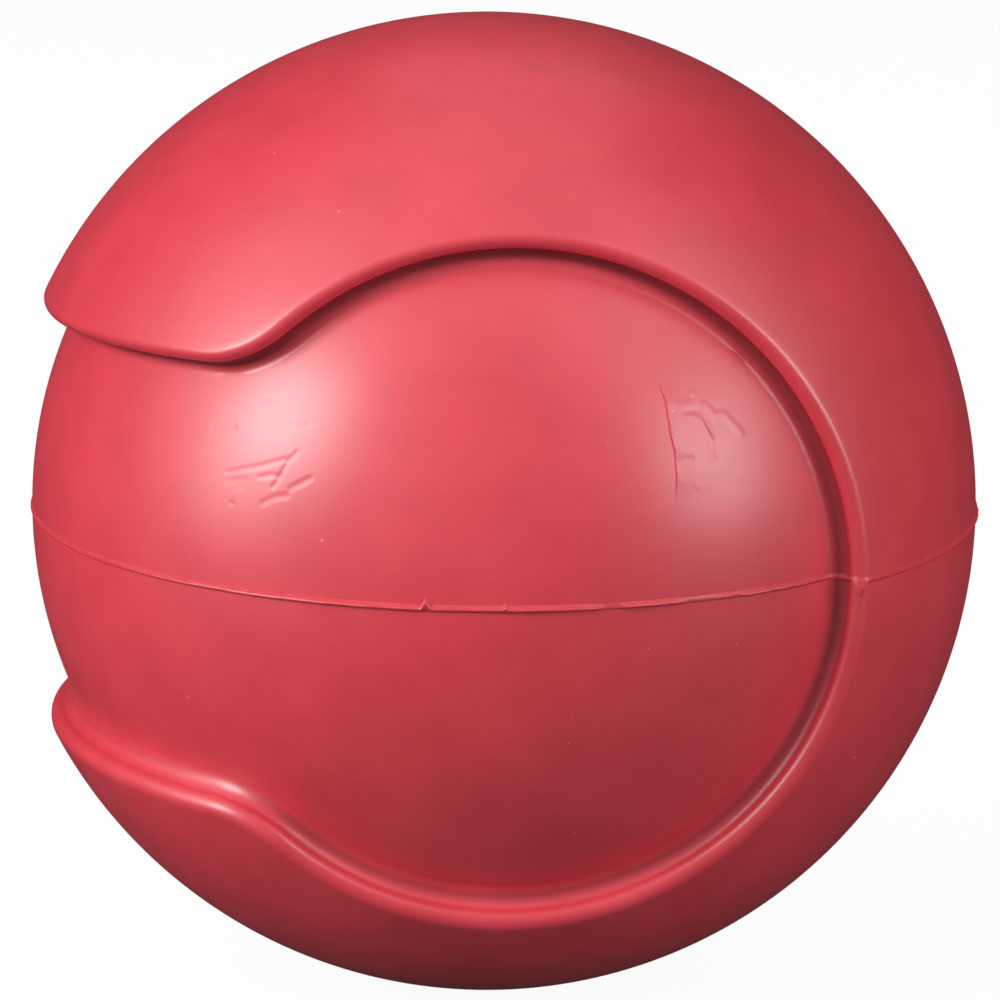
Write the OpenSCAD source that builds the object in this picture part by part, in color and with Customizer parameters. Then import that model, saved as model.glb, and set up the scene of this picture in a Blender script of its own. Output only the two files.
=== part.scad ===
// Hollow rubber ball for a dog, moulded in two halves and cured together.
// A raised and a recessed panel wrap round each other like the two covers of a baseball.
// The origin is the centre of the ball. +Z is the way the halves part,
// +X points at the middle of the raised waist. Sizes are in mm and degrees.

/* [Ball] */
// Diameter across the raised panel
ball_d = 73; // [68:0.5:78]
// Height of the raised panel above the recessed one
step_h = 2.6; // [2.3:0.1:2.9]
// Diameter of the hollow inside
cavity_d = 56; // [52:0.5:58]

/* [Seam] */
// Angle by which each round end of the recess leans towards the raised waist
lobe_lean = 24; // [23:0.5:25]
// Angular radius of the round ends of the recess
lobe_angle = 43; // [42.5:0.1:43.5]
// Angular radius of the turn between a round end and the waist
turn_angle = 12; // [11:0.1:13]
// Angular radius of the raised cap that bounds the waist of the recess
cap_angle = 62.7; // [62.2:0.1:63.2]
// Angle by which that cap tips towards the waist of the recess
cap_tip = 3.6; // [3:0.1:4.2]
// How far the wall of the step leans back over its height
wall_run = 0.85; // [0.6:0.05:1]
// Radius of the hollow foot of the step
foot_r = 0.6; // [0.5:0.05:0.8]
// Radius of the round edge of the step
edge_r = 0.7; // [0.5:0.1:0.8]

/* [Joint] */
// Thickness of the rubber cement between the two halves
bond_t = 0.4; // [0.3:0.05:0.6]
// Height of the bead of cement that stands out of the surface
bead_h = 0.25; // [0.15:0.05:0.4]
// Height of the bead of cement that stands into the hollow
squeeze_h = 0.6; // [0.4:0.1:1]

/* [Hidden] */
$fn = 96;
r_high = ball_d / 2;
r_low = r_high - step_h;
r_in = cavity_d / 2;
far = 1.5 * r_high;
// Depth to which the soft edge and foot arcs cross the faces that they join
cross_in = 0.02;
// Angle by which neighbouring stretches of the step lap, and how far back the turn stands there
lap = 2;
set_back = 0.03;
// Radius of the round hubs in which the stretches meet
hub_r = 3;

function pol(r, a) = [r * sin(a), r * cos(a)];
function unit(v) = v / norm(v);

// The seam is a chain of circles on the ball: cap, turn, round end.
// The turn touches the round end from outside and the cap from inside.
cap_dir = [-sin(cap_tip), 0, cos(cap_tip)];
lobe_dir = [sin(lobe_lean), cos(lobe_lean), 0];
to_lobe = cos(lobe_angle + turn_angle);
to_cap = cos(cap_angle - turn_angle);
mix = cap_dir * lobe_dir;
from_lobe = (to_lobe - mix * to_cap) / (1 - mix * mix);
from_cap = (to_cap - mix * to_lobe) / (1 - mix * mix);
in_plane = from_lobe * lobe_dir + from_cap * cap_dir;
off_plane = sqrt(1 - in_plane * in_plane);
turn_dir = in_plane - off_plane * unit(cross(lobe_dir, cap_dir));

// Where the stretches of the seam end, as angles about their own axes
turn_polar = acos(turn_dir[2]);
turn_azim = atan2(turn_dir[1], turn_dir[0]);
south = [cos(turn_polar) * cos(turn_azim), cos(turn_polar) * sin(turn_azim), -sin(turn_polar)];
east = [-sin(turn_azim), cos(turn_azim), 0];
turn_to_cap = atan2(cap_dir * east, cap_dir * south);
turn_to_lobe = atan2(lobe_dir * east, lobe_dir * south);
cap_to_turn = atan2(turn_dir[1], turn_dir * [cos(cap_tip), 0, sin(cap_tip)]);
lobe_to_turn = atan2(turn_dir * [-cos(lobe_lean), sin(lobe_lean), 0], -turn_dir[2]);

module right_half(r) {
  intersection() {
    circle(r);
    translate([0, -far]) square(2 * far);
  }
}

// Section of what is missing beside a step at angle a, with its leaning wall, soft edge and soft foot.
// The wall is at angle a two thirds of the way up.
module recess_profile(a, end, hi, lo) {
  s = sign(end - a);
  deep = lo - 1;
  foot_p = pol(lo, a + s * asin(wall_run * 2 / 3 / lo));
  edge_p = pol(hi, a - s * asin(wall_run / 3 / hi));
  along = unit(edge_p - foot_p);
  into = s * [along[1], -along[0]];
  into_a = atan2(into[0], into[1]);
  edge_at = hi - edge_r + cross_in;
  foot_at = lo + foot_r - cross_in;
  edge_c = pol(edge_at, into_a - s * acos((into * foot_p - edge_r + cross_in) / edge_at));
  foot_c = pol(foot_at, into_a - s * acos((into * foot_p + foot_r - cross_in) / foot_at));
  n = ceil(abs(end - a) / 15);
  difference() {
    union() {
      polygon(concat(
        [foot_p - along],
        [for (i = [1:n]) pol(deep, a + (end - a) * i / n)],
        [for (i = [n:-1:1]) pol(far, a + (end - a) * i / n)],
        [edge_p + (far - hi) * along]
      ));
      difference() {
        polygon([
          edge_c,
          edge_c + 2 * edge_r * into,
          edge_c + 2 * edge_r * into + far * unit(edge_c) / 3,
          edge_c * far / norm(edge_c)
        ]);
        translate(edge_c) circle(edge_r);
      }
    }
    difference() {
      polygon([
        foot_c,
        foot_c * (deep - 1) / norm(foot_c),
        pol(deep - 1, a - s * 2),
        foot_c - 2 * foot_r * into
      ]);
      translate(foot_c) circle(foot_r);
    }
  }
}

// Half section of a step at angle a, low from there to the end angle.
// The spare is left on both levels and inside, for the spheres that finish them.
module step_profile(a, end, spare) {
  difference() {
    union() {
      difference() {
        right_half(r_high + spare);
        recess_profile(a, end, r_high, r_low);
      }
      right_half(r_low - spare);
    }
    circle(r_in - 1 - spare);
  }
}

module above_joint() {
  intersection() {
    children();
    translate([-far, -far, bond_t / 2]) cube(2 * far);
  }
}

// Bars along the axes of the turn and the cap, from the hollow outwards
module turn_bar(r) {
  rotate([0, turn_polar, turn_azim])
    translate([0, 0, r_in / 2])
      cylinder(r = r, h = far);
}

module cap_bar(r) {
  rotate([0, -cap_tip, 0])
    translate([0, 0, r_in / 2])
      cylinder(r = r, h = far);
}

// Stretch along both sides of the recessed waist
module cap_piece() {
  difference() {
    rotate([0, -cap_tip, 0])
      rotate_extrude(angle = 360 - 2 * cap_to_turn, start = cap_to_turn)
        intersection() {
          step_profile(cap_angle, 180, 0.5);
          translate([0.8 * hub_r, -far]) square(2 * far);
        }
    turn_bar(0.8 * hub_r);
    mirror([0, 1, 0]) turn_bar(0.8 * hub_r);
  }
}

// Stretch round the turn
module turn_piece() {
  rotate([0, turn_polar, turn_azim])
    rotate_extrude(angle = turn_to_cap - 180 - turn_to_lobe + 2 * lap, start = turn_to_lobe - lap)
      intersection() {
        step_profile(turn_angle - asin(set_back / r_high), 180, 0.7);
        translate([0.7 * hub_r, -far]) square(2 * far);
      }
}

// Stretch round one end of the recess, with the raised waist beyond it
module lobe_piece() {
  difference() {
    intersection() {
      rotate([0, 90, 90 - lobe_lean])
        rotate_extrude(angle = 275 - lobe_to_turn, start = lobe_to_turn)
          step_profile(lobe_angle, 0, 0.9);
      rotate([0, -cap_tip, 0])
        rotate([0, 0, cap_to_turn + lap])
          translate([-far, -2 * far, -far])
            cube(2 * far);
      translate([-far, 0, -far]) cube(2 * far);
    }
    turn_bar(0.6 * hub_r);
    cap_bar(0.7 * hub_r);
  }
}

module upper_half_shell() {
  color("#d4424d")
    difference() {
      intersection() {
        union() {
          above_joint() cap_piece();
          above_joint() turn_piece();
          mirror([0, 1, 0]) above_joint() turn_piece();
          above_joint() lobe_piece();
          mirror([0, 1, 0]) above_joint() lobe_piece();
          turn_bar(hub_r);
          mirror([0, 1, 0]) turn_bar(hub_r);
          cap_bar(hub_r);
          above_joint() sphere(r_low);
        }
        sphere(r_high);
      }
      sphere(r_in);
    }
}

module lower_half_shell() {
  color("#c83c47")
    mirror([0, 0, 1]) upper_half_shell();
}

// Section of the ball in the plane of the joint, grown by the bead
module joint_section() {
  hi = r_high + bead_h;
  lo = r_low + bead_h;
  a = lobe_angle - asin(bead_h / r_high);
  union() {
    difference() {
      circle(hi);
      rotate(-lobe_lean) recess_profile(a, -30, hi, lo);
      mirror([0, 1]) rotate(-lobe_lean) recess_profile(a, -30, hi, lo);
      polygon([
        pol(lo - 2, lobe_lean - 15),
        pol(far, lobe_lean - 15),
        [-2 * far, far],
        [-2 * far, -far],
        pol(far, 195 - lobe_lean),
        pol(lo - 2, 195 - lobe_lean)
      ]);
    }
    circle(lo);
  }
}

module bond_ring() {
  color("#b8323d")
    difference() {
      translate([0, 0, -bond_t / 2])
        linear_extrude(bond_t)
          joint_section();
      cylinder(r = r_in - squeeze_h, h = 4 * bond_t, center = true);
    }
}

upper_half_shell();
lower_half_shell();
bond_ring();
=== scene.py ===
# %% [markdown]
# # A moulded rubber ball for a dog
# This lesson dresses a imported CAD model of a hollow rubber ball. One panel of the ball is raised and the
# other is recessed, and the two wrap round each other like the covers of a baseball. The CAD holds the
# sizes. Here each half of the ball is modelled again as a fine mesh with soft steps, and gets the look of
# rubber straight from the mould. The frame is in metres, +Z is up, and the origin is the ball's centre.

# %% Load the frame and measure it
import math

import bmesh
import bpy
from mathutils import Matrix, Vector, noise


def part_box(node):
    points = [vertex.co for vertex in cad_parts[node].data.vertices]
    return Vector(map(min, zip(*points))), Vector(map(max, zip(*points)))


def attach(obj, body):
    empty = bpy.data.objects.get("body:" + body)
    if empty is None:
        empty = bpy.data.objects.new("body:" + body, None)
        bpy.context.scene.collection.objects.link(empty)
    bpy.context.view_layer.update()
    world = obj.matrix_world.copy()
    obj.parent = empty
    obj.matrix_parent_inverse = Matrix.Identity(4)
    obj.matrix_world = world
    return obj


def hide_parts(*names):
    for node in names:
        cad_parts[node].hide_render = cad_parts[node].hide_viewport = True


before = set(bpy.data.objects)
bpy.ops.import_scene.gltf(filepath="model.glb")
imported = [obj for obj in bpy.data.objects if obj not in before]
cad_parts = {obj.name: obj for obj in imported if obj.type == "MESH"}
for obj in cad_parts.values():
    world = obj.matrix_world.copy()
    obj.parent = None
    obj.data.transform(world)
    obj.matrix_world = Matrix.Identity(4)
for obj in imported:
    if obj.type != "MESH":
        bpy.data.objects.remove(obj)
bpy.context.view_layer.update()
MM = 0.001

upper_low, upper_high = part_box("upper_half_shell")
raised_r = upper_high.z
joint_z = upper_low.z
recess_r = math.hypot(upper_low.x, joint_z)
# The hollow is closed, so no box of the frame tells its radius.
hollow_r = 28 * MM
print(f"raised radius {raised_r / MM:.2f} mm, recessed radius {recess_r / MM:.2f} mm")
print(f"joint at {joint_z / MM:.2f} mm")

# %% [markdown]
# ## The seam as three circles that touch
# The step between the panels is the feature that makes this ball a baseball. It could be traced as a free
# curve, but a mould maker turns it from arcs, and arcs can be spun in Blender. On each quarter of the ball
# the seam is a round end, a small turn and a long side, and each of the three is a circle about its own
# axis through the ball's centre. The turn touches both of its neighbours, which fixes its axis.

# %% Work out the axes of the three circles
ROUND_END_LEAN = math.radians(24)
ROUND_END_RADIUS = math.radians(43.3)
TURN_RADIUS = math.radians(12)
SIDE_RADIUS = math.radians(62.7)
SIDE_TIP = math.radians(2.3)


def axis_at_angles(first, first_angle, second, second_angle):
    """The unit vector at these angles from two axes, on the side where X is lower."""
    shared = first.dot(second)
    a, b = math.cos(first_angle), math.cos(second_angle)
    flat = (first * (a - b * shared) + second * (b - a * shared)) / (1 - shared**2)
    rise = first.cross(second).normalized() * math.sqrt(1 - flat.length_squared)
    return min(flat + rise, flat - rise, key=lambda v: v.x)


end_axis = Vector((math.sin(ROUND_END_LEAN), -math.cos(ROUND_END_LEAN), 0))
side_axis = Vector((-math.sin(SIDE_TIP), 0, math.cos(SIDE_TIP)))
turn_axis = axis_at_angles(end_axis, ROUND_END_RADIUS + TURN_RADIUS, side_axis, SIDE_RADIUS - TURN_RADIUS)
print("turn axis", [round(x, 4) for x in turn_axis])


def angle_about(axis, start, stop):
    """The angle from one direction to the other, seen along an axis, without its sign."""
    a, b = (v - axis * v.dot(axis) for v in (start, stop))
    return a.angle(b)


seam_start = Matrix.Rotation(ROUND_END_RADIUS, 3, "Z") @ end_axis
end_sweep = angle_about(end_axis, seam_start, turn_axis)
turn_sweep = math.pi - angle_about(turn_axis, end_axis, side_axis)
side_sweep = 2 * angle_about(side_axis, turn_axis, Vector((-1, 0, 0)))
print("sweeps in degrees", [round(math.degrees(a), 2) for a in (end_sweep, turn_sweep, side_sweep)])

# %% [markdown]
# ## The section of the step
# Cut across the seam, the rubber comes down from the raised panel over a round lip, which hangs a little over
# the wall, and runs out into the recess over a broad hollow foot. The lip leaves a thin dark line under it,
# which the photo shows all along the recess. A bevel would round the corners too, but both panels are curved
# and the arcs should touch them exactly, so the section is laid out point by point. By hand this is a single
# vertex that is extruded along the section, and the code does just that.

# %% Lay out the section's points
LIP_R = 0.8 * MM
LIP_TURN = math.radians(40)
FOOT_R = 1.1 * MM
RAISED_REACH = math.radians(9)
RECESS_REACH = math.radians(8)
ARC_STEPS = 10
PANEL_STEPS = 8
# Below 1, the points on the panels crowd towards the step.
CROWDING = 0.7

outwards = seam_start.copy()
inwards = Vector((outwards.y, -outwards.x, 0))


def at_angle(radius, angle):
    """A point on a panel, at an angle from the seam. The recess lies at positive angles."""
    return radius * (math.cos(angle) * outwards + math.sin(angle) * inwards)


def arc(centre, radius, start, stop):
    """Points along a corner's arc, from one direction to the other."""
    turn = start.angle(stop)
    across = (stop - start * start.dot(stop)).normalized()
    steps = [turn * i / ARC_STEPS for i in range(ARC_STEPS + 1)]
    return [centre + radius * (math.cos(t) * start + math.sin(t) * across) for t in steps]


def section_points():
    """Points from the raised panel over the lip, down the wall, round the foot and into the recess."""
    lip_angle = math.asin(LIP_R / (raised_r - LIP_R))
    lip_centre = at_angle(raised_r - LIP_R, -lip_angle)
    under_lip = math.cos(LIP_TURN) * inwards - math.sin(LIP_TURN) * outwards
    lip = arc(lip_centre, LIP_R, lip_centre.normalized(), under_lip)
    set_back = LIP_R * (1 - math.cos(LIP_TURN))
    foot_angle = math.asin((FOOT_R - set_back) / (recess_r + FOOT_R))
    foot_centre = at_angle(recess_r + FOOT_R, foot_angle)
    foot = arc(foot_centre, FOOT_R, -inwards, -foot_centre.normalized())
    share = [(i / PANEL_STEPS) ** CROWDING for i in range(PANEL_STEPS)]
    raised = [at_angle(raised_r, -RAISED_REACH + (RAISED_REACH - lip_angle) * s) for s in share]
    recess = [at_angle(recess_r, RECESS_REACH - (RECESS_REACH - foot_angle) * s) for s in share]
    return raised + lip + foot + recess[::-1]


section = section_points()
print(len(section), "points in the section, from", [round(x / MM, 2) for x in section[0]])

# %% [markdown]
# ## Spinning the section round the ball
# The band of rubber along the step runs from the parting joint, round the front end of the recess, through
# the turn, along the far side and back down the other end. A Curve with a bevel profile could carry the
# section too, but it twists where a curve changes its plane. Five spins, each about the axis of its own
# circle, keep the wall's slope the same all round, and every spin starts where the last one stopped.

# %% Spin the band
SPIN_SPACING = 0.7 * MM


def deselect_objects():
    for thing in bpy.context.selected_objects:
        thing.select_set(False)


def one_vertex(name, place):
    """A new piece that is a single vertex, left in edit mode: a plane merged at its centre and moved."""
    deselect_objects()
    bpy.ops.mesh.primitive_plane_add(size=MM)
    piece = bpy.context.object
    piece.name = name
    piece.data.name = name
    bpy.ops.object.mode_set(mode="EDIT")
    bpy.ops.mesh.select_all(action="SELECT")
    bpy.ops.mesh.merge(type="CENTER")
    bpy.ops.transform.translate(value=place)
    return piece


def spin_on(axis, sweep, radius):
    """Carries the selected section on about an axis, right-handed for a positive sweep."""
    steps = 2 * math.ceil(abs(sweep) * math.sin(radius) * raised_r / SPIN_SPACING / 2) + 1
    bpy.ops.mesh.spin(steps=steps, angle=-sweep, center=(0, 0, 0), axis=axis)
    return steps


shell = one_vertex("upper_half_shell_rubber", section[0])
for here, there in zip(section, section[1:]):
    bpy.ops.mesh.extrude_region_move(TRANSFORM_OT_translate={"value": there - here})
bpy.ops.mesh.select_all(action="SELECT")

mirror_y = Matrix.Diagonal((1, -1, 1))
spins = [
    spin_on(end_axis, end_sweep, ROUND_END_RADIUS),
    spin_on(turn_axis, -turn_sweep, TURN_RADIUS),
    spin_on(side_axis, -side_sweep, SIDE_RADIUS),
    spin_on(mirror_y @ turn_axis, -turn_sweep, TURN_RADIUS),
    spin_on(mirror_y @ end_axis, end_sweep, ROUND_END_RADIUS),
]
print("sections in each spin", spins, "and", len(bmesh.from_edit_mesh(shell.data).faces), "faces in the band")

# %% [markdown]
# ## Closing the panels
# The band has two borders. The one on the raised panel faces its own mirror image across the ball, so the
# two halves of it are bridged like a tunnel and the bridge is cut finely. The one on the recessed panel is
# extruded down past the joint as an apron. Both start as flat strips that cut through the ball. A Cast
# modifier, held to their own vertices, then blows each out to the radius of its panel.

# %% Bridge the raised panel and drop the apron of the recessed one
BRIDGE_CUTS = 72
APRON_CUTS = 26
APRON_DEPTH = 3 * MM
TOUCH = 0.001 * MM
LEVEL = 0.05 * MM


def select_edges(piece, test):
    """Selects the edges that pass a test, and nothing else."""
    bpy.ops.mesh.select_mode(type="EDGE")
    bpy.ops.mesh.select_all(action="DESELECT")
    edit = bmesh.from_edit_mesh(piece.data)
    found = [e for e in edit.edges if test(e)]
    for e in found:
        e.select_set(True)
    bmesh.update_edit_mesh(piece.data)
    return len(found)


def on_border(edge, radius):
    """True for an edge of the band's long border at this radius, and not for the ends at the joint."""
    level = all(abs(v.co.length - radius) < TOUCH for v in edge.verts)
    return edge.is_boundary and level and any(v.co.z > TOUCH for v in edge.verts)


def crosses_middle(edge):
    return edge.verts[0].co.y * edge.verts[1].co.y < 0


def keep_as_group(piece, name):
    """Stores the selected vertices as a vertex group."""
    bpy.ops.object.vertex_group_assign_new()
    piece.vertex_groups.active.name = name


def cast_to_radius(piece, group, radius):
    """Moves a vertex group straight out to a sphere about the ball's centre."""
    bpy.ops.object.mode_set(mode="OBJECT")
    cast = piece.modifiers.new("round", "CAST")
    cast.factor = 1
    cast.use_radius_as_size = False
    cast.size = radius
    cast.vertex_group = group
    bpy.ops.object.modifier_apply(modifier=cast.name)
    bpy.ops.object.mode_set(mode="EDIT")


found = select_edges(shell, lambda e: on_border(e, raised_r) and not crosses_middle(e))
bpy.ops.mesh.bridge_edge_loops(type="SINGLE", number_cuts=BRIDGE_CUTS, interpolation="LINEAR")
keep_as_group(shell, "raised panel")
bridged = sum(f.select for f in bmesh.from_edit_mesh(shell.data).faces)
print(found, "border edges bridged into", bridged, "faces")

found = select_edges(shell, lambda e: on_border(e, recess_r))
bpy.ops.mesh.extrude_region_move()
bpy.ops.transform.resize(value=(1, 1, 0), center_override=(0, 0, 0))
bpy.ops.transform.translate(value=(0, 0, -APRON_DEPTH))


def hangs_down(edge):
    low, high = sorted(v.co.z for v in edge.verts)
    return abs(low + APRON_DEPTH) < TOUCH and high > low + TOUCH


drops = select_edges(shell, hangs_down)
bpy.ops.mesh.subdivide(number_cuts=APRON_CUTS)
keep_as_group(shell, "recessed panel")
cast_to_radius(shell, "raised panel", raised_r)
cast_to_radius(shell, "recessed panel", recess_r)
print(found, "border edges dropped as", drops, "strips")

# %% [markdown]
# ## The joint face and the hollow
# The real half is a cup of rubber: thick wall, flat rim for the cement, hollow inside. Solidify would give
# it a wall of one thickness, but the hollow is a plain sphere under both panels. So the outside is cut at
# the joint with a bisect, a second sphere is cut the same way for the hollow, and the two rims are bridged
# into the flat joint face. The rim is drawn in to a plain circle first, because a bridge from the bent rim
# straight to the hollow would cut across the foot of the step.

# %% Cut the rim, add the hollow and bridge the two
HOLLOW_SEGMENTS = 128
HOLLOW_RINGS = 64
JOINT_MARGIN = 1 * MM
SMOOTH_ANGLE = math.radians(35)


def cut_at_joint():
    """Cuts the selected mesh at the upper face of the cement and drops what is below."""
    plane = {"plane_co": (0, 0, joint_z), "plane_no": (0, 0, 1)}
    bpy.ops.mesh.bisect(**plane, clear_inner=True, threshold=TOUCH)


def on_joint_circle(point):
    """The place on a circle just under the recess, straight in from a point of the rim."""
    return Vector((*(point.xy.normalized() * (recess_r - JOINT_MARGIN)), point.z))


bpy.ops.mesh.select_all(action="SELECT")
cut_at_joint()
select_edges(shell, lambda e: e.is_boundary)
bpy.ops.mesh.extrude_region_move()
edit = bmesh.from_edit_mesh(shell.data)
for v in edit.verts:
    if v.select:
        v.co = on_joint_circle(v.co)
bmesh.update_edit_mesh(shell.data)
bpy.ops.mesh.select_all(action="DESELECT")
bpy.ops.mesh.primitive_uv_sphere_add(segments=HOLLOW_SEGMENTS, ring_count=HOLLOW_RINGS, radius=hollow_r)
cut_at_joint()
select_edges(shell, lambda e: e.is_boundary)
bpy.ops.mesh.bridge_edge_loops()
bpy.ops.mesh.select_all(action="SELECT")
bpy.ops.mesh.normals_make_consistent(inside=False)
bpy.ops.object.mode_set(mode="OBJECT")
bpy.ops.object.shade_smooth_by_angle(angle=SMOOTH_ANGLE)
print("upper half:", len(shell.data.polygons), "faces")

# %% [markdown]
# ## The other half
# Both halves come out of the same mould, so the lower one is the upper one turned over. Mirroring in the
# joint is the same thing here, because the mould is its own mirror image. A mirrored mesh is inside out,
# so its normals are recalculated.

# %% Mirror the lower half
deselect_objects()
shell.select_set(True)
bpy.context.view_layer.objects.active = shell
bpy.ops.object.duplicate()
lower = bpy.context.object
lower.name = "lower_half_shell_rubber"
lower.data.name = lower.name
bpy.ops.object.mode_set(mode="EDIT")
bpy.ops.mesh.select_all(action="SELECT")
bpy.ops.transform.resize(value=(1, 1, -1), center_override=(0, 0, 0))
bpy.ops.mesh.normals_make_consistent(inside=False)
bpy.ops.object.mode_set(mode="OBJECT")
lowest = min(v.co.z for v in lower.data.vertices)
print("lower half:", len(lower.data.polygons), "faces, lowest point", round(lowest / MM, 2))

# %% [markdown]
# ## The sag of the raised skin
# In the photo the raised panel's edge sits about half a millimetre lower than the mirror image says, above
# the recess and below it. The soft rubber may have sagged that way in bonding. So every point slides down
# along the ball, by a share that grows from nothing at the recess to the full sag on the raised panel, and
# that fades out at the joint, where the halves meet. The panels themselves only slide in their own sphere.
# A hand would drag the edge with proportional editing.

# %% Slide the raised skin down
SAG = 0.45 * MM
SAG_FROM = 2 * MM
SAG_FULL = 12 * MM


def sag_share(point):
    """How much of the full sag a point takes."""
    height = (point.length - recess_r) / (raised_r - recess_r)
    away = (abs(point.z) - SAG_FROM) / (SAG_FULL - SAG_FROM)
    return min(1, max(0, height)) * min(1, max(0, away))


for piece in (shell, lower):
    for v in piece.data.vertices:
        radius = v.co.length
        down = v.co.normalized() * v.co.normalized().z - Vector((0, 0, 1))
        v.co = (v.co + down * SAG * sag_share(v.co)).normalized() * radius
print("raised skin slid down by up to", round(SAG / MM, 2), "mm")

# %% [markdown]
# ## The bead of cement at the joint
# When the halves are pressed together, cement is squeezed out of the joint. It cures as a fine uneven ridge
# that follows the joint over both panels and the step, and in a few places it was trimmed off. A tube along
# the rim would look like a wire, so the rim of the upper half is copied and extruded row by row: joint
# circle, gap, lip, shoulder, crest, shoulder, lip, gap, joint circle. Noise moves every row a little, which
# gives the ridge its life.

# %% Copy the rim and number its stations
RIM_CUTS = 2
RIM_MERGE = 0.05 * MM


def is_outer_rim(edge):
    level = all(abs(v.co.z - joint_z) < TOUCH for v in edge.verts)
    return level and all(v.co.length > recess_r - JOINT_MARGIN / 2 for v in edge.verts)


deselect_objects()
shell.select_set(True)
bpy.context.view_layer.objects.active = shell
bpy.ops.object.mode_set(mode="EDIT")
select_edges(shell, is_outer_rim)
bpy.ops.mesh.duplicate()
bpy.ops.mesh.separate(type="SELECTED")
bpy.ops.object.mode_set(mode="OBJECT")
ring = next(o for o in bpy.context.selected_objects if o is not shell)
ring.name = "bond_ring_cement"
ring.data.name = ring.name
deselect_objects()
ring.select_set(True)
bpy.context.view_layer.objects.active = ring
bpy.ops.object.mode_set(mode="EDIT")
bpy.ops.mesh.select_all(action="SELECT")
bpy.ops.mesh.delete(type="ONLY_FACE")
bpy.ops.mesh.select_all(action="SELECT")
bpy.ops.mesh.remove_doubles(threshold=RIM_MERGE)
bpy.ops.mesh.subdivide(number_cuts=RIM_CUTS)

edit = bmesh.from_edit_mesh(ring.data)
station = edit.verts.layers.int.new("station")
edit.verts.ensure_lookup_table()
walk = [edit.verts[0]]
ahead = edit.verts[0].link_edges[0].other_vert(edit.verts[0])
while ahead is not walk[0]:
    came_from = walk[-1]
    walk.append(ahead)
    ahead = next(v for e in ahead.link_edges for v in [e.other_vert(ahead)] if v is not came_from)
for i, v in enumerate(walk):
    v[station] = i
rim = [v.co.copy() for v in walk]
tangents = [(rim[(i + 1) % len(rim)] - rim[i - 1]).normalized() for i in range(len(rim))]
way_round = 1 if rim[0].cross(rim[1]).z > 0 else -1
outs = [t.cross(Vector((0, 0, way_round))) for t in tangents]
bmesh.update_edit_mesh(ring.data)
rim_length = sum((a - b).length for a, b in zip(rim, rim[1:]))
print(len(rim), "stations on the rim,", f"{rim_length / MM:.0f} mm round")

# %% Say how high the bead stands round the ball
BEAD_H = 0.3 * MM
FLUSH_H = 0.02 * MM
TRIMMED = 0.12
# Azimuth in degrees and the share of the full height there. The knife went over the low places.
BEAD_SHARES = ((-180, 0.5), (-150, 0.3), (-121, 0.3), (-112, 0.65), (-104, 0.7), (-95, 0.85), (-58, 0.9),
               (-55.6, TRIMMED), (-53.9, TRIMMED), (-53, 0.95), (-47, 0.8), (-45, TRIMMED), (-42, 0.2),
               (-40, 0.6), (-38.4, TRIMMED), (-37.2, 0.9), (-32, 0.75), (-27, 0.4), (-25, 0.2), (-20, 0.3),
               (0, 0.5), (40, 0.9), (90, 0.6), (93, TRIMMED), (96, 0.8), (140, 0.7), (180, 0.5))
# Burrs that the knife left: azimuth in degrees, reach up or down and half the width.
BURRS = ((-23.3, -0.95 * MM, 0.55 * MM), (-77, 0.5 * MM, 0.35 * MM), (-67.7, 0.15 * MM, 0.2 * MM),
         (61, -0.5 * MM, 0.5 * MM), (133, 0.4 * MM, 0.4 * MM))
BURR_SWELL = 0.15
# Noise along the rim: the size of its bumps and the seed that shifts it.
LONG_BUMPS = (4 * MM, 3.1)
SHORT_BUMPS = (0.9 * MM, 8.4)
UNEVEN = 0.25


def wander(point, size, seed):
    """Smooth noise from -1 to 1 along the rim, with bumps of this size."""
    return noise.noise(Vector((point.x, point.y, 0)) / size + Vector((0, 0, seed)))


def bead_height(point):
    """How far the crest stands out at a point of the rim."""
    azimuth = math.degrees(math.atan2(point.y, point.x))
    before, after = next(pair for pair in zip(BEAD_SHARES, BEAD_SHARES[1:]) if azimuth <= pair[1][0])
    part = (azimuth - before[0]) / (after[0] - before[0])
    share = before[1] + part * (after[1] - before[1])
    uneven = 1 + UNEVEN * wander(point, *LONG_BUMPS) + UNEVEN * wander(point, *SHORT_BUMPS)
    return FLUSH_H + BEAD_H * share * uneven


def on_rim(azimuth):
    """The rim's point at an azimuth, the outermost one where the wall runs straight out."""
    turn = math.radians(azimuth)
    return min(rim, key=lambda p: (p - raised_r * Vector((math.cos(turn), math.sin(turn), 0))).length)


burr_tips = [(on_rim(azimuth), length, half_w) for azimuth, length, half_w in BURRS]


def burr_reach(point):
    """How far the burrs pull the crest up or down at a point of the rim."""
    return sum(length * max(0, 1 - (point - tip).length / half_w) for tip, length, half_w in burr_tips)


burrs = [burr_reach(point) for point in rim]
heights = [bead_height(point) + BURR_SWELL * abs(reach) for point, reach in zip(rim, burrs)]
print("bead from", round(min(heights) / MM, 2), "to", round(max(heights) / MM, 2), "mm high")

# %% Extrude the rows of the bead
LIP = 0.3 * MM
WAVER = 0.1 * MM
SINK = 0.03 * MM
GAP_DEPTH = 0.3 * MM
# Noise that bends the crest up and down: the size of its waves and the seed that shifts it.
LONG_WAVES = (8 * MM, 1.7)
SHORT_WAVES = (1.6 * MM, 5.2)
SHORT_SHARE = 0.4
# Rows from the upper lip to the lower one: share of the height, share of the lip, and how far a burr that
# hangs or stands pulls it. The crest is below the middle, because the cement sagged before it cured.
ROWS = ((0, 1, 0, 1), (0.4, 0.55, 0.2, 1), (0.85, 0.15, 0.6, 1), (1, -0.15, 1, 1),
        (0.8, -0.45, 1, 0.6), (0.35, -0.7, 1, 0.2), (0, -0.85, 1, 0))


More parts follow.
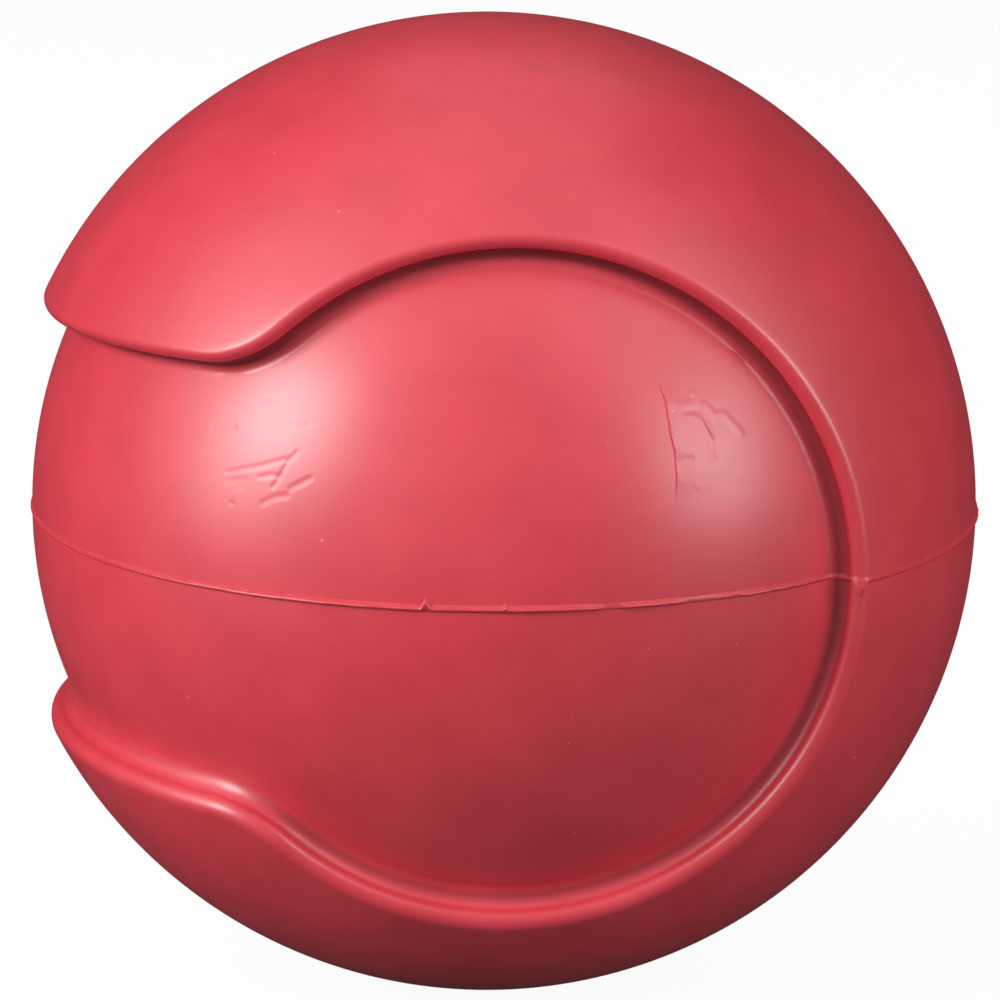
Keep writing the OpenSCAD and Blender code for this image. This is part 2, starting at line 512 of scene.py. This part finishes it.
def push_row(row):
    """Extrudes the selected row of the ring and gives its stations their new places."""
    bpy.ops.mesh.extrude_region_move()
    edit = bmesh.from_edit_mesh(ring.data)
    for v in edit.verts:
        if v.select:
            v.co = row(v[station])
    bmesh.update_edit_mesh(ring.data)


def gap_place(i, side):
    """Where the cement lies flat between the halves."""
    place = rim[i] - outs[i] * GAP_DEPTH
    place.z = side * joint_z
    return place


def circle_place(i, side):
    """Where the cement meets the circle that the joint faces are drawn in to."""
    place = on_joint_circle(rim[i])
    place.z = side * joint_z
    return place


def bead_place(i, out_share, lip_share, hang_share, stand_share):
    """Where a row of the bead runs at a station. A row with no height is sunk a little into the rubber."""
    place = rim[i] + outs[i] * (out_share * heights[i] if out_share else -SINK)
    drift = WAVER * wander(rim[i], *LONG_WAVES) + SHORT_SHARE * WAVER * wander(rim[i], *SHORT_WAVES)
    place.z = LIP * lip_share + drift * (1 - abs(lip_share))
    place.z += burrs[i] * (hang_share if burrs[i] < 0 else stand_share)
    return place


bpy.ops.mesh.select_all(action="SELECT")
edit = bmesh.from_edit_mesh(ring.data)
station = edit.verts.layers.int["station"]
for v in edit.verts:
    v.co = circle_place(v[station], 1)
bmesh.update_edit_mesh(ring.data)
push_row(lambda i: gap_place(i, 1))
for shares in ROWS:
    push_row(lambda i: bead_place(i, *shares))
push_row(lambda i: gap_place(i, -1))
push_row(lambda i: circle_place(i, -1))
print(len(ROWS), "rows of", len(rim), "stations on the bead")

# %% Add the inner bead and close the ring
SQUEEZE_H = 0.6 * MM
CREST = 1.4
# Rows of the inner bead after its lower rim: how far in, and which side of the joint's middle.
INNER_ROWS = ((1, -1), (CREST, 0), (1, 1), (0, 1))

bpy.ops.mesh.select_all(action="DESELECT")
bpy.ops.mesh.primitive_circle_add(vertices=HOLLOW_SEGMENTS, radius=hollow_r)
bpy.ops.transform.translate(value=(0, 0, -joint_z))
reach = hollow_r
for inward, side in INNER_ROWS:
    target = hollow_r - inward * SQUEEZE_H / CREST
    bpy.ops.mesh.extrude_region_move()
    bpy.ops.transform.resize(value=(target / reach, target / reach, 0), center_override=(0, 0, 0))
    bpy.ops.transform.translate(value=(0, 0, side * joint_z))
    reach = target
for side in (1, -1):
    select_edges(ring, lambda e: e.is_boundary and all(v.co.z * side > 0 for v in e.verts))
    bpy.ops.mesh.bridge_edge_loops()
bpy.ops.mesh.select_all(action="SELECT")
bpy.ops.mesh.normals_make_consistent(inside=False)
bpy.ops.object.mode_set(mode="OBJECT")
bpy.ops.object.shade_smooth_by_angle(angle=SMOOTH_ANGLE)
print("ring:", len(ring.data.polygons), "faces")

# %% [markdown]
# ## Marks on the skin
# The ball has been handled. On the front of the recess a flap of skin stands up along a crease, with wrinkles
# beside it, and further left are a few short scratches. A bump in the material would only fake them. They
# catch the light as shapes, so the skin there is cut finely, rounded again, and pushed in and out along
# strokes, as one does with the crease brush in Sculpt Mode.

# %% Cut the skin finely where the marks are
PATCH_CUTS = 8
# Azimuths and elevations in degrees between which the skin is cut.
PATCHES = ((-50, -33, 8, 29), (-108, -90, 8, 26))


def angles_of(point):
    """Azimuth and elevation of a point in degrees."""
    azimuth = math.degrees(math.atan2(point.y, point.x))
    return azimuth, math.degrees(math.asin(point.z / point.length))


def in_patch(point):
    azimuth, elevation = angles_of(point)
    return any(west < azimuth < east and low < elevation < high for west, east, low, high in PATCHES)


deselect_objects()
shell.select_set(True)
bpy.context.view_layer.objects.active = shell
bpy.ops.object.mode_set(mode="EDIT")
bpy.ops.mesh.select_mode(type="FACE")
bpy.ops.mesh.select_all(action="DESELECT")
edit = bmesh.from_edit_mesh(shell.data)
for f in edit.faces:
    middle = f.calc_center_median()
    if in_patch(middle) and recess_r - LEVEL < middle.length < recess_r + LEVEL:
        f.select_set(True)
bmesh.update_edit_mesh(shell.data)
bpy.ops.mesh.subdivide(number_cuts=PATCH_CUTS)
keep_as_group(shell, "marked skin")
cast_to_radius(shell, "marked skin", recess_r)
print(sum(v.select for v in bmesh.from_edit_mesh(shell.data).verts), "vertices in the marked skin")

# %% Push the strokes in and out
FLAP_H = 0.07 * MM
FLAP_W = 6 * MM
FLAP_FADE = 3
WRINKLE_H = 0.03 * MM
WRINKLE_SIZE = 1.1 * MM
# Azimuth and elevation in degrees along the edge of the flap.
FLAP_EDGE = ((-46.7, 26.4), (-46.2, 24), (-46.2, 20), (-45.9, 18), (-46, 15), (-46.3, 12.4))
# Height or depth in mm, half the width in mm, then azimuth and elevation in degrees along the stroke.
STROKES = (
    (-0.025, 0.34, (-45.7, 16.8), (-45.2, 16.7), (-43.7, 17)),
    (0.02, 0.46, (-45.3, 18), (-43.8, 17.5)),
    (0.03, 0.52, (-40.5, 23), (-39.3, 21.6), (-38.1, 21.7), (-36, 19.3)),
    (-0.03, 0.34, (-40.9, 21.3), (-40, 19.3)),
    (0.02, 0.46, (-43.4, 22), (-41.4, 21.3), (-40.6, 18.3)),
    (0.025, 0.46, (-40.7, 17.1), (-40.7, 16.8)),
    (0.02, 0.4, (-42.2, 24.9), (-42.2, 24.7)),
    (0.015, 0.4, (-43.3, 13.6), (-43.1, 13.6)),
    (-0.015, 0.34, (-43.7, 22.5), (-41.8, 22.5)),
    (-0.02, 0.34, (-103.8, 14), (-99.1, 15.3), (-94.8, 16.8), (-94.4, 17.4)),
    (-0.025, 0.34, (-95.4, 16.2), (-96.5, 13.8), (-97, 13.1)),
    (-0.02, 0.34, (-99, 14), (-97.5, 14.4), (-96.3, 14.4)),
    (-0.015, 0.46, (-103.6, 13), (-101, 13.4)),
    (-0.015, 0.4, (-102.4, 12.2), (-101.2, 12.6)),
    (-0.02, 0.29, (-102.8, 10.4), (-102.6, 10.4)),
    (-0.02, 0.4, (-94.6, 13.1), (-92.2, 14.5)),
    (-0.02, 0.4, (-98.3, 10.9), (-96.8, 11.8), (-95.1, 12.2)),
    (-0.015, 0.4, (-107.1, 19), (-104, 19.6)),
    (-0.015, 0.4, (-97, 20.8), (-95.3, 20.5), (-93.5, 20.7)),
    (-0.01, 0.46, (-100.6, 23.3), (-98.5, 23.4)),
)


def direction(azimuth, elevation):
    """The unit vector at an azimuth from +X towards +Y and an elevation, in degrees."""
    turn, lift = math.radians(azimuth), math.radians(elevation)
    return Vector((math.cos(lift) * math.cos(turn), math.cos(lift) * math.sin(turn), math.sin(lift)))


def on_recess(azimuth, elevation):
    """The point of the recess at an azimuth and elevation in degrees."""
    return recess_r * direction(azimuth, elevation)


def from_path(point, path):
    """The distance from a point to a path."""
    gaps = []
    for start, stop in zip(path, path[1:]):
        along = stop - start
        part = min(1, max(0, (point - start).dot(along) / along.length_squared))
        gaps.append((point - start - part * along).length)
    return min(gaps)


def flap_height(point):
    """The flap stands highest at its edge and runs out towards the right."""
    azimuth, elevation = angles_of(point)
    pairs = zip(FLAP_EDGE, FLAP_EDGE[1:])
    between = [pair for pair in pairs if pair[1][1] <= elevation < pair[0][1]]
    if not between:
        return 0
    (high_azimuth, high), (low_azimuth, low) = between[0]
    edge = low_azimuth + (high_azimuth - low_azimuth) * (elevation - low) / (high - low)
    across = math.radians(azimuth - edge) * recess_r * math.cos(math.radians(elevation))
    if not 0 < across < FLAP_W:
        return 0
    fade = min(1, (FLAP_EDGE[0][1] - elevation) / FLAP_FADE, (elevation - FLAP_EDGE[-1][1]) / FLAP_FADE)
    wrinkle = WRINKLE_H * noise.noise(point / WRINKLE_SIZE)
    return fade * (1 - across / FLAP_W) * (FLAP_H * (1 - across / FLAP_W) + wrinkle)


paths = []
for height, half_w, *path in STROKES:
    paths.append((height * MM, half_w * MM, [on_recess(*place) for place in path]))


def stroke_height(point):
    """The sum of the strokes at a point, each with a round section."""
    total = 0
    for height, half_w, path in paths:
        near = from_path(point, path) / half_w
        if near < 1:
            total += height * (1 - near**2) ** 2
    return total


edit = bmesh.from_edit_mesh(shell.data)
marked = [v for v in edit.verts if v.select]
pushes = [flap_height(v.co) + stroke_height(v.co) for v in marked]
for v, push in zip(marked, pushes):
    v.co += v.co.normalized() * push
bmesh.update_edit_mesh(shell.data)
bpy.ops.object.mode_set(mode="OBJECT")
print(f"marks from {min(pushes) / MM:.3f} to {max(pushes) / MM:.3f} mm")

# %% [markdown]
# ## Moulded rubber
# The ball is natural rubber with a red pigment all through, cured in a sprayed steel mould. To the eye that
# gives a satin skin: a saturated red, a little cloudy, with a fine grain from the mould. Rubber's IOR is
# about 1.52. Wax blooms out of rubber and lies on it as a thin clear film, which gives the broad, soft
# highlights. The shader's coat stands for it. A paint layer over a base would be wrong here, because the
# colour goes all the way through. The foot of the step, where it faces down or sideways, is darkened with
# painted shade, and a few specks of pale dust lie on the skin.

# %% Helpers for colours and nodes
def linear(hex_colour):
    """Linear red, green, blue and alpha of an sRGB hex colour."""
    shares = [int(hex_colour[i:i + 2], 16) / 255 for i in (1, 3, 5)]
    return [s / 12.92 if s <= 0.04045 else ((s + 0.055) / 1.055) ** 2.4 for s in shares] + [1]


def add_node(material, kind, inputs, **settings):
    """Adds a node with its settings. Each input is a value, or another node's output to link."""
    node = material.node_tree.nodes.new(kind)
    for name, value in settings.items():
        setattr(node, name, value)
    for name, value in inputs.items():
        if isinstance(value, bpy.types.NodeSocket):
            material.node_tree.links.new(value, node.inputs[name])
        else:
            node.inputs[name].default_value = value
    return node


def new_material(name):
    """A material with an empty node tree and an output."""
    material = bpy.data.materials.new(name)
    material.use_nodes = True
    material.node_tree.nodes.clear()
    return material


# %% The rubber of the half shells
RUBBER_IOR = 1.52
SATIN = (0.56, 0.64)
WAX_IOR = 1.6
WAX_SHARE = 0.9
WAX_ROUGHNESS = 0.34
GRAIN = 0.25 * MM
BLOOM = 6 * MM
PAINTED_SHADE_SHARE = 0.8
# Heights above the recess where the painted shade starts, where it is full, and the middle of its band.
PAINTED_SHADE_START = 0.12 * MM
PAINTED_SHADE_FULL = 0.4 * MM
FOOT_LEVEL = 0.8 * MM
DUST_GAP = 4 * MM
DUST_R = 0.12 * MM
DUST_SHARE = 0.45

rubber = new_material("moulded natural rubber")
place = add_node(rubber, "ShaderNodeTexCoord", {}).outputs["Object"]
clouds = add_node(rubber, "ShaderNodeTexNoise", {
    "Vector": place,
    "Scale": 1 / BLOOM,
    "Detail": 6,
    "Roughness": 0.6,
})
reds = add_node(rubber, "ShaderNodeValToRGB", {"Fac": clouds.outputs["Fac"]})
reds.color_ramp.elements[0].position = 0.35
reds.color_ramp.elements[0].color = linear("#D43242")
reds.color_ramp.elements[1].position = 0.7
reds.color_ramp.elements[1].color = linear("#DF3949")
# Painted shade: a band on the foot of the step, darkest where the skin faces down, stands in for the shade
# that falls there.
radius = add_node(rubber, "ShaderNodeVectorMath", {"Vector": place}, operation="LENGTH").outputs["Value"]
off_middle = add_node(rubber, "ShaderNodeMath", {0: radius, 1: recess_r + FOOT_LEVEL}, operation="SUBTRACT")
off_middle = add_node(rubber, "ShaderNodeMath", {0: off_middle.outputs["Value"]}, operation="ABSOLUTE")
on_step = add_node(rubber, "ShaderNodeMapRange", {
    "Value": off_middle.outputs["Value"],
    "From Min": FOOT_LEVEL - PAINTED_SHADE_START,
    "From Max": FOOT_LEVEL - PAINTED_SHADE_FULL,
}).outputs["Result"]
facing = add_node(rubber, "ShaderNodeNewGeometry", {}).outputs["Normal"]
facing = add_node(rubber, "ShaderNodeSeparateXYZ", {"Vector": facing}).outputs["Z"]
overhead = add_node(rubber, "ShaderNodeMapRange", {"Value": facing, "From Min": 0.5, "From Max": -0.5})
painted_shade = add_node(rubber, "ShaderNodeMath", {0: on_step, 1: overhead.outputs["Result"]}, operation="MULTIPLY")
painted_shade = add_node(rubber, "ShaderNodeMath", {0: painted_shade.outputs["Value"], 1: PAINTED_SHADE_SHARE}, operation="MULTIPLY")
# The painted shade is mixed into the reds as a dark red.
reds = add_node(rubber, "ShaderNodeMixRGB", {
    "Fac": painted_shade.outputs["Value"],
    "Color1": reds.outputs["Color"],
    "Color2": linear("#4A060C"),
})
dots = add_node(rubber, "ShaderNodeTexVoronoi", {"Vector": place, "Scale": 1 / DUST_GAP})
dust = add_node(rubber, "ShaderNodeMapRange", {
    "Value": dots.outputs["Distance"],
    "From Min": DUST_R / DUST_GAP,
    "From Max": 0.5 * DUST_R / DUST_GAP,
    "To Max": DUST_SHARE,
})
reds = add_node(rubber, "ShaderNodeMixRGB", {
    "Fac": dust.outputs["Result"],
    "Color1": reds.outputs["Color"],
    "Color2": linear("#F3B9B6"),
})
shine = add_node(rubber, "ShaderNodeMapRange", {
    "Value": clouds.outputs["Fac"],
    "To Min": SATIN[0],
    "To Max": SATIN[1],
})
grain = add_node(rubber, "ShaderNodeTexNoise", {"Vector": place, "Scale": 1 / GRAIN, "Detail": 3})
relief = add_node(rubber, "ShaderNodeBump", {
    "Height": grain.outputs["Fac"],
    "Strength": 0.25,
    "Distance": 0.02 * MM,
})
skin = add_node(rubber, "ShaderNodeBsdfPrincipled", {
    "Base Color": reds.outputs["Color"],
    "Roughness": shine.outputs["Result"],
    "Normal": relief.outputs["Normal"],
    "IOR": RUBBER_IOR,
    "Coat Weight": WAX_SHARE,
    "Coat Roughness": WAX_ROUGHNESS,
    "Coat IOR": WAX_IOR,
})
add_node(rubber, "ShaderNodeOutputMaterial", {"Surface": skin.outputs["BSDF"]})

# %% The cement of the bead
cement = new_material("cured rubber cement")
place = add_node(cement, "ShaderNodeTexCoord", {}).outputs["Object"]
lumps = add_node(cement, "ShaderNodeTexNoise", {"Vector": place, "Scale": 1 / GRAIN, "Detail": 4})
reds = add_node(cement, "ShaderNodeValToRGB", {"Fac": lumps.outputs["Fac"]})
reds.color_ramp.elements[0].position = 0.3
reds.color_ramp.elements[0].color = linear("#C93541")
reds.color_ramp.elements[1].position = 0.7
reds.color_ramp.elements[1].color = linear("#D64550")
relief = add_node(cement, "ShaderNodeBump", {
    "Height": lumps.outputs["Fac"],
    "Strength": 0.3,
    "Distance": 0.03 * MM,
})
skin = add_node(cement, "ShaderNodeBsdfPrincipled", {
    "Base Color": reds.outputs["Color"],
    "Roughness": 0.42,
    "Normal": relief.outputs["Normal"],
    "IOR": RUBBER_IOR,
})
add_node(cement, "ShaderNodeOutputMaterial", {"Surface": skin.outputs["BSDF"]})

# %% [markdown]
# ## Riding on the frame
# Every piece takes its material and rides on the ball's one body, and the CAD node it stands for is hidden.

# %% Give each piece its material and body, and hide the CAD nodes
for piece, material in ((shell, rubber), (lower, rubber), (ring, cement)):
    piece.data.materials.clear()
    piece.data.materials.append(material)
    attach(piece, "root")
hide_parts("upper_half_shell")
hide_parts("lower_half_shell")
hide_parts("bond_ring")
print("pieces:", [piece.name for piece in (shell, lower, ring)])

# %% [markdown]
# ## The studio
# The ball lies on a white floor that fades into a white room. The white is for the eye, and reflections see
# a small share of it. Other light paths meet a dim floor and a dim room, so that the white doesn't wash out
# the underside. The floor still takes a share of the light, so that it keeps the ball's shadow. Eight soft
# boxes stand round the ball: their places follow from where the photo's highlights lie.

# %% Floor and room
FLOOR_SIZE = 8
FLOOR_GLOW = 0.94
SHADOW_SHARE = 0.08
FLOOR_GREY = 0.28
GLOSS_SHARE = 0.03
ROOM_LIGHT = 0.015


def by_ray(tree, to_eye, mirrored, scattered):
    """A value for each kind of ray: to the eye or through glass, off a gloss, and off a matt face."""
    seen = add_node(tree, "ShaderNodeLightPath", {})
    value = add_node(tree, "ShaderNodeMath", {
        0: seen.outputs["Is Camera Ray"],
        1: seen.outputs["Is Transmission Ray"],
    }, operation="MAXIMUM")
    value = add_node(tree, "ShaderNodeMath", {
        0: value.outputs["Value"],
        1: to_eye,
    }, operation="MULTIPLY")
    for kind, share in (("Is Glossy Ray", mirrored), ("Is Diffuse Ray", scattered)):
        value = add_node(tree, "ShaderNodeMath", {
            0: seen.outputs[kind],
            1: share,
            2: value.outputs["Value"],
        }, operation="MULTIPLY_ADD")
    return value.outputs["Value"]


deselect_objects()
bpy.ops.mesh.primitive_plane_add(size=FLOOR_SIZE, location=(0, 0, -raised_r))
floor = bpy.context.object
floor.name = "studio_floor"
paper = new_material("white paper floor")
matt = add_node(paper, "ShaderNodeBsdfDiffuse", {"Color": by_ray(paper, SHADOW_SHARE, 0, FLOOR_GREY)})
glow = add_node(paper, "ShaderNodeEmission", {
    "Color": linear("#FFFFFF"),
    "Strength": by_ray(paper, FLOOR_GLOW, GLOSS_SHARE, 0),
})
both = add_node(paper, "ShaderNodeAddShader", {0: matt.outputs["BSDF"], 1: glow.outputs["Emission"]})
add_node(paper, "ShaderNodeOutputMaterial", {"Surface": both.outputs["Shader"]})
floor.data.materials.append(paper)

room = bpy.data.worlds.new("white room")
bpy.context.scene.world = room
room.use_nodes = True
room.node_tree.nodes.clear()
light = add_node(room, "ShaderNodeBackground", {
    "Color": linear("#FFFFFF"),
    "Strength": by_ray(room, 1, GLOSS_SHARE, ROOM_LIGHT),
})
add_node(room, "ShaderNodeOutputWorld", {"Surface": light.outputs["Background"]})

# %% Soft boxes
LAMP_DISTANCE = 0.8


def soft_box(name, azimuth, elevation, size, power):
    """A square area lamp that looks at the ball. Angles are in degrees, the size in metres, power in watts."""
    way = direction(azimuth, elevation)
    aim = way.to_track_quat("Z", "Y").to_euler()
    deselect_objects()
    bpy.ops.object.light_add(type="AREA", location=way * LAMP_DISTANCE, rotation=aim)
    lamp = bpy.context.object
    lamp.name = name
    lamp.data.size = size
    lamp.data.energy = power
    return lamp


soft_box("left soft box", -126, 26, 0.32, 4.36)
soft_box("low left soft box", -136, 12, 0.32, 1.45)
soft_box("high left soft box", -145, 40, 0.6, 1.15)
soft_box("top soft box", -80, 75, 0.9, 1.55)
soft_box("front soft box", -75, 20, 0.6, 0.25)
soft_box("right soft box", -10, 16, 0.32, 2.4)
soft_box("high right soft box", -7, 41, 0.6, 1.54)
soft_box("back soft box", 106, 59, 0.5, 0.37)

# %% Camera
PHOTO_W = 1000
VIEW_AZIMUTH = math.radians(20)
VIEW_ELEVATION = math.radians(12.96)
VIEW_ROLL = math.radians(0.44)
VIEW_DISTANCE = 14 * raised_r
LENS_MM = 246
SENSOR_MM = 36
# Where the ball's centre is in the photo, in pixels from the top left corner.
BALL_AT = (486.5, 500.7)

back = Vector((math.sin(VIEW_AZIMUTH) * math.cos(VIEW_ELEVATION),
               -math.cos(VIEW_AZIMUTH) * math.cos(VIEW_ELEVATION),
               math.sin(VIEW_ELEVATION)))
bpy.ops.object.camera_add(location=back * VIEW_DISTANCE)
camera = bpy.context.object
camera.name = "photo camera"
level_turn = back.to_track_quat("Z", "Y").to_matrix()
camera.rotation_euler = (level_turn @ Matrix.Rotation(VIEW_ROLL, 3, "Z")).to_euler()
camera.data.lens = LENS_MM
camera.data.sensor_width = SENSOR_MM
camera.data.shift_x = 0.5 - BALL_AT[0] / PHOTO_W
camera.data.shift_y = BALL_AT[1] / PHOTO_W - 0.5
bpy.context.scene.camera = camera
bpy.context.scene.view_settings.view_transform = "Standard"
